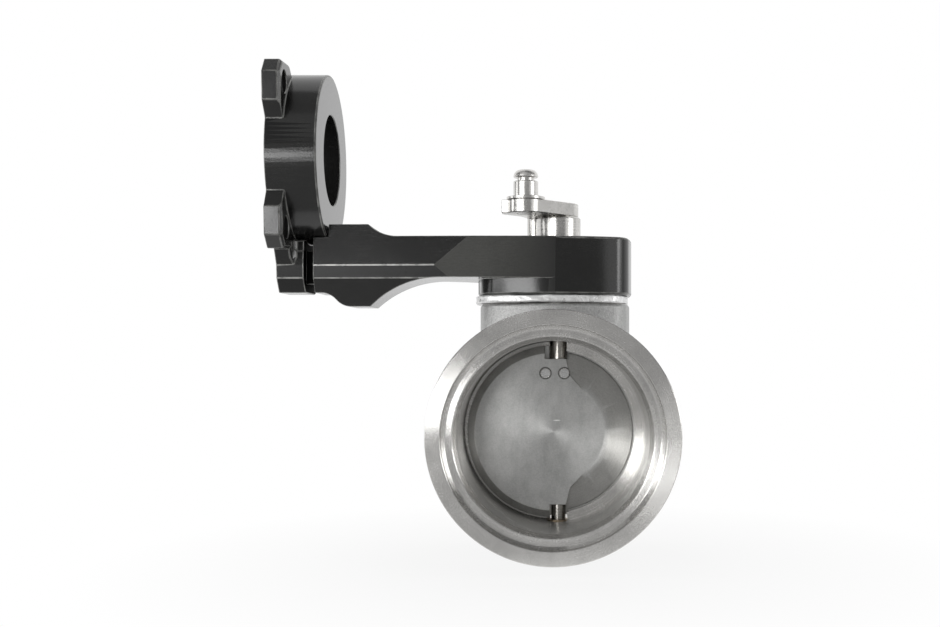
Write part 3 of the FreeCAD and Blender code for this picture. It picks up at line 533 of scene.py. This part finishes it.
def body_zone(centre, normal):
    """0 turned, 1 cast."""
    x, y, z = centre
    bore_wall = np.hypot(x, z) < bore_reach
    flanges = (y < outlet_y + outlet_flange) | (y > inlet_y - inlet_flange)
    neck_top = z > body_high.z - 0.3 * MM
    return np.where(bore_wall | flanges | neck_top, 0, 1)


machined("valve_body", [flange_steel, cast_steel], 0.25 * MM, body_zone, turned_edge)


# Gasket: a copy of the plate, finely divided, its edges waved like pressed foil

def divided(mesh, longest, rounds):
    """Halve every edge above a length, a few times over."""
    work = bmesh.new()
    work.from_mesh(mesh)
    for _ in range(rounds):
        long_edges = [edge for edge in work.edges if edge.calc_length() > longest]
        bmesh.ops.subdivide_edges(work, edges=long_edges, cuts=1)
    bmesh.ops.triangulate(work, faces=work.faces)
    work.to_mesh(mesh)
    work.free()


def crinkled_gasket():
    """Height and outward shifts are sums of sine waves along the rim's angle; the waves
    of the upper and the lower edge differ. They grow from nothing inside to full at the
    rim, and the rim is pressed a little thinner."""
    mesh = merged_copy("heat_gasket", whole_faces=False)
    divided(mesh, 0.8 * MM, 3)
    count = len(mesh.vertices)
    places = np.empty(count * 3, np.float32)
    mesh.vertices.foreach_get("co", places)
    x, y, z = places.reshape(-1, 3).T.astype(float)
    centre = (gasket_low + gasket_high) / 2
    half = (gasket_high.x - gasket_low.x) / 2
    angle = np.arctan2(y - centre.y, x - centre.x)
    reach = np.maximum(abs(x - centre.x), abs(y - centre.y)) / half
    rim_from, rim_width = 0.80, 0.14
    near_rim = np.clip((reach - rim_from) / rim_width, 0.0, 1.0)
    level = (z - centre.z) / (gasket_high.z - centre.z)
    rng = np.random.default_rng(5)
    lift, bulge = np.zeros(count), np.zeros(count)
    for waves in (9, 14, 23, 37, 58, 90):
        lift_phase, bulge_phase, _ = rng.uniform(0, 2 * math.pi, 3)
        strength = 1.6 / waves ** 0.75
        lift += strength * np.sin(waves * angle + lift_phase + 0.9 * level)
        bulge += strength * np.sin(waves * 1.7 * angle + bulge_phase + 2.2 * level)
    pressed, lift_size, bulge_size = 0.18 * MM, 0.16 * MM, 0.30 * MM
    z = z - level * near_rim * (pressed + lift_size * lift)
    out = near_rim * bulge_size * bulge
    x, y = x + out * np.cos(angle), y + out * np.sin(angle)
    mesh.vertices.foreach_set("co", np.stack([x, y, z], 1).astype(np.float32).ravel())
    shade_smooth(mesh, 50.0)
    stand_in("heat_gasket", mesh, [gasket_foil])


crinkled_gasket()


# Bracket: the flat front of arm and head is brushed, the rest milled, with painted shade on the arm's low facets
# and at its end in the narrow gap

bracket_front = bracket_low.y + 0.4 * MM


def bracket_zone(centre, normal):
    """0 black, 1 the flat front of head and arm, 2 the low facets of the arm, darker as painted
    shade, 3 the arm's end with its tongue in the narrow gap, near black as painted shade."""
    x, y, z = centre
    front = (normal[1] < -0.999) & (y < bracket_front) & (x < flush_x + 0.1 * MM)
    facet = (normal[1] < -0.99) & (normal[2] < -0.03)
    end = (normal[0] < -0.99) | (x < arm_end_x - 0.1 * MM)
    return np.select([end, facet, front & (normal[2] < 0.02)], [3, 2, 1], 0)


def bracket_edge(edge):
    """Sharp edges and the arm's two crest lines, whose rounding carries the edge finish's
    painted highlight, but not the edge where the front of the arm runs flush into the head."""
    ends = [vertex.co for vertex in edge.verts]
    flush = all(abs(end.x - flush_x) < 0.4 * MM and end.y < bracket_front for end in ends)
    crest = (all(abs(end.z - arm_crest_z) < 0.1 * MM for end in ends)
             and all(face.normal.y < -0.98 for face in edge.link_faces))
    return not flush and (crest or edge.calc_face_angle() > math.radians(20.0))


machined("bracket", [anodise, anodise_brushed, anodise_facet_shade, anodise_gap_shade], 0.22 * MM, bracket_zone,
         bracket_edge, edge_finish_with_highlight=anodise_edge_wear_highlight, sharp=20.0, rounded_from=4.0)


# Actuator ring: a silky face, duller flats at the front with painted shade, and painted shade on the wall of the
# narrow gap beside the arm

lobe_depth = 5.3 * MM


def mount_zone(centre, normal):
    """0 black, 1 the wall of the narrow gap beside the arm, near black as painted shade, 2 the
    ring's face, 3 the front flats of the upper lobes and of the foot, duller and darker as painted shade."""
    x, y, z = centre
    gap = (normal[0] > 0.99) & (abs(x - gap_x) < 0.1 * MM)
    face = (normal[0] > 0.99) & (x > mount_high.x - 0.2 * MM) & (z > arm_crest_z)
    lobe = (normal[1] < -0.8) & (x < mount_low.x + lobe_depth) & (z > ring_z)
    foot = (normal[1] < -0.7) & (z < arm_crest_z)
    return np.select([gap, face, lobe | foot], [1, 2, 3], 0)


machined("actuator_mount", [anodise, anodise_gap_shade, anodise_face, anodise_facet_shade], 0.28 * MM, mount_zone,
         edge_finish_with_highlight=anodise_edge_wear_highlight, sharp=20.0)


# Disc: satin faces, a turned cone on the side that opens against the flow

cone_inner = 14.0 * MM


def disc_zone(centre, normal):
    """0 satin, 1 the cone."""
    x, y, z = centre
    cone = (normal[1] < -0.6) & (normal[1] > -0.98) & (x > 0) & (np.hypot(x, z) > cone_inner)
    return np.where(cone, 1, 0)


machined("disc", [disc_steel, cone_steel], 0.12 * MM, disc_zone)


# Pieces of one finish each: the finish, and its edge rounding in millimetres

small_pieces = {
    "disc_pins": (rivet_steel, 0.4),
    "spindle": (spindle_steel, 0.1),
    "lever": (lever_steel, 0.22),
    "clevis_pin": (clevis_steel, 0.12),
    "stop_post": (post_steel, 0.1),
    "collar": (collar_steel, 0.12),
    "collar_screw": (black_oxide, 0.08),
    "thrust_washer": (collar_steel, 0.1),
    "bracket_bush": (bronze, 0.1),
    "upper_bush": (bronze, 0.0),
    "lower_bush": (bronze, 0.0),
    "spindle_packing": (graphite, 0.0),
    "gland_ring": (collar_steel, 0.0),
    "lower_plug": (black_oxide, 0.1),
    "seal_rings": (black_oxide, 0.0),
    "bracket_screws": (black_oxide, 0.1),
    "bracket_washers": (collar_steel, 0.1),
    # The screws and the dowel in the narrow gap are near black as painted shade.
    "mount_screws": (gap_shade_steel, 0.1),
    "mount_dowel": (gap_shade_steel, 0.0),
}
for node, (material, edge) in small_pieces.items():
    machined(node, [material], edge * MM)


# Floor and walls of the studio

def stage_sheet(name, corners, material):
    """A flat four-cornered stage piece."""
    mesh = bpy.data.meshes.new(name)
    mesh.from_pydata(corners, [], [(0, 1, 2, 3)])
    mesh.materials.append(material)
    sheet = bpy.data.objects.new(name, mesh)
    bpy.context.scene.collection.objects.link(sheet)
    return sheet


def floor_material():
    """Pale floor with a soft shadow near the object. Seen directly and in reflections it
    turns to plain white farther out, so that no horizon shows."""
    finish = Finish("pale_floor", (0.9, 0.9, 0.9), 0.0, 0.9)
    finish.shade(finish.noise(finish.place, 40.0), 0.99, 1.01)
    glow = finish.node("ShaderNodeEmission", {"Strength": 1.0})
    foot = ((body_low.x + body_high.x) / 2, spindle_y, floor_z)
    shadow_near, shadow_far = 0.04, 0.14
    white_share = finish.span(finish.distance(foot), shadow_near, shadow_far, 0.86, 1.0)
    share = finish.math("MULTIPLY", finish.seen_rays(), white_share)
    surface = finish.node("ShaderNodeMixShader", {0: share, 1: finish.shader.outputs[0], 2: glow.outputs[0]})
    finish.feed(finish.tree.nodes["Material Output"].inputs["Surface"], surface.outputs[0])
    return finish.material


def card(name, low, high, level):
    """A glowing card between two opposite corners, which the camera doesn't see. The level
    is its brightness, where 1 is a white sheet. A card that lies flat is seen in
    reflections only: it throws no light on rough surfaces and no shadow."""
    wide, deep = [axis for axis in range(3) if low[axis] != high[axis]]
    beside, beyond = list(low), list(low)
    beside[wide] = high[wide]
    beyond[deep] = high[deep]
    material = bpy.data.materials.new("card_" + name)
    material.use_nodes = True
    nodes = Nodes(material.node_tree)
    glow = nodes.node("ShaderNodeEmission", {"Strength": level})
    nodes.feed(nodes.tree.nodes["Material Output"].inputs["Surface"], glow.outputs[0])
    sheet = stage_sheet("card_" + name, [low, beside, high, beyond], material)
    sheet.visible_camera = False
    if low[2] == high[2]:
        sheet.visible_diffuse = False
        sheet.visible_shadow = False


def softbox(name, low, high, level):
    """A flat lamp between two opposite corners of an upright wall, facing inwards. The
    level is its brightness, where 1 is a white sheet."""
    low, high = Vector(low), Vector(high)
    middle = (low + high) / 2
    size = high - low
    inward = Vector((0.0, 1.0, 0.0)) if size.y == 0 else Vector((-math.copysign(1.0, middle.x), 0.0, 0.0))
    data = bpy.data.lights.new("softbox_" + name, "AREA")
    data.shape = "RECTANGLE"
    data.size = size.x if size.y == 0 else size.y
    data.size_y = size.z
    data.energy = level * math.pi * data.size * data.size_y
    lamp = bpy.data.objects.new("softbox_" + name, data)
    lamp.location = middle
    lamp.rotation_euler = inward.to_track_quat("-Z", "Z").to_euler()
    lamp.visible_camera = False
    bpy.context.scene.collection.objects.link(lamp)


def studio_world():
    """White where it is seen or reflected, a plain even light elsewhere."""
    world = bpy.data.worlds.new("studio")
    world.use_nodes = True
    nodes = Nodes(world.node_tree)
    white = (1.0, 1.0, 1.0, 1.0)
    lighting = nodes.tree.nodes["Background"]
    lighting.inputs["Color"].default_value = white
    lighting.inputs["Strength"].default_value = 0.62
    seen = nodes.node("ShaderNodeBackground", {"Color": white, "Strength": 1.0})
    surface = nodes.node("ShaderNodeMixShader",
                         {0: nodes.seen_rays(), 1: lighting.outputs[0], 2: seen.outputs[0]})
    nodes.feed(nodes.tree.nodes["World Output"].inputs["Surface"], surface.outputs[0])
    bpy.context.scene.world = world


floor_half = 6.0
floor_corners = [(-floor_half, -floor_half, floor_z), (floor_half, -floor_half, floor_z),
                 (floor_half, floor_half, floor_z), (-floor_half, floor_half, floor_z)]
stage_sheet("floor", floor_corners, floor_material())
studio_world()

# Cards lying on the floor
card_z = floor_z + 2.0 * MM
front_y, side_x, roof_z = -1.1, 1.6, 1.6
floor_x, floor_back, object_front = 0.7, 0.1, -0.085
card("floor_front", (-floor_x, front_y, card_z), (floor_x, object_front, card_z), 0.5)
card("floor_right", (floor_x, front_y, card_z), (side_x, floor_back, card_z), 1.2)
card("floor_left", (-side_x, front_y, card_z), (-floor_x, floor_back, card_z), 1.0)

# The wall before the object: two bright lamps low on the left, cards elsewhere
left_x, inner_x, peak_x, right_x = -0.8, -0.265, 0.3, 0.8
strip_from, lamp_top, dark_from, upper_from = 0.1, 0.165, 0.36, 0.5
softbox("front_left_strip", (-side_x, front_y, strip_from), (left_x, front_y, upper_from), 3.8)
softbox("front_left_low", (left_x, front_y, floor_z), (inner_x, front_y, lamp_top), 7.4)
card("front_left_mid", (left_x, front_y, lamp_top), (inner_x, front_y, upper_from), 0.4)
card("front_middle", (inner_x, front_y, floor_z), (right_x, front_y, upper_from), 0.3)
card("front_right", (right_x, front_y, floor_z), (side_x, front_y, dark_from), 1.3)
card("front_right_mid", (right_x, front_y, dark_from), (side_x, front_y, upper_from), 0.05)
card("front_left_high", (-side_x, front_y, upper_from), (left_x, front_y, roof_z), 0.4)
card("front_high", (left_x, front_y, upper_from), (peak_x, front_y, roof_z), 0.6)
card("front_right_high", (peak_x, front_y, upper_from), (side_x, front_y, roof_z), 0.4)

# The side walls: lamps and pale cards below, dark cards above
near_y, far_y, back_y = -0.7, -0.3, 0.3
wall_top, lamp_high, lamp_low = 0.7, 0.5, 0.3
card("left_front", (-side_x, front_y, floor_z), (-side_x, near_y, wall_top), 0.4)
softbox("left_mid", (-side_x, near_y, floor_z), (-side_x, far_y, wall_top), 2.4)
softbox("left_back", (-side_x, far_y, floor_z), (-side_x, back_y, lamp_low), 1.9)
card("left_high", (-side_x, front_y, wall_top), (-side_x, back_y, roof_z), 0.05)
softbox("right_front", (side_x, front_y, floor_z), (side_x, near_y, lamp_high), 4.9)
softbox("right_mid", (side_x, near_y, floor_z), (side_x, far_y, wall_top), 2.0)
card("right_back", (side_x, far_y, floor_z), (side_x, back_y, wall_top), 0.65)
card("right_high", (side_x, front_y, wall_top), (side_x, back_y, roof_z), 0.05)

# The roof: dim over the ring, dark over the valve
roof_x, roof_back = -0.2, 0.1
card("roof_left", (-side_x, front_y, roof_z), (roof_x, roof_back, roof_z), 0.35)
card("roof_right", (roof_x, front_y, roof_z), (side_x, roof_back, roof_z), 0.05)

# The camera looks along +Y; the photo's point of sight lies right of and below its middle
frame_width, frame_height = 940, 627
sight_x, sight_y = 553.3, 350.0
focal_pixels = 1203.0
camera_y, camera_z = -0.412, 0.0251
sensor = 36.0
camera_data = bpy.data.cameras.new("camera")
camera_data.sensor_width = sensor
camera_data.lens = sensor * focal_pixels / frame_width
camera_data.shift_x = (frame_width / 2 - sight_x) / frame_width
camera_data.shift_y = (sight_y - frame_height / 2) / frame_width
camera = bpy.data.objects.new("camera", camera_data)
camera.location = (0.0, camera_y, camera_z)
camera.rotation_euler = (math.pi / 2, 0.0, 0.0)
bpy.context.scene.collection.objects.link(camera)
bpy.context.scene.camera = camera
bpy.context.scene.view_settings.view_transform = "Standard"
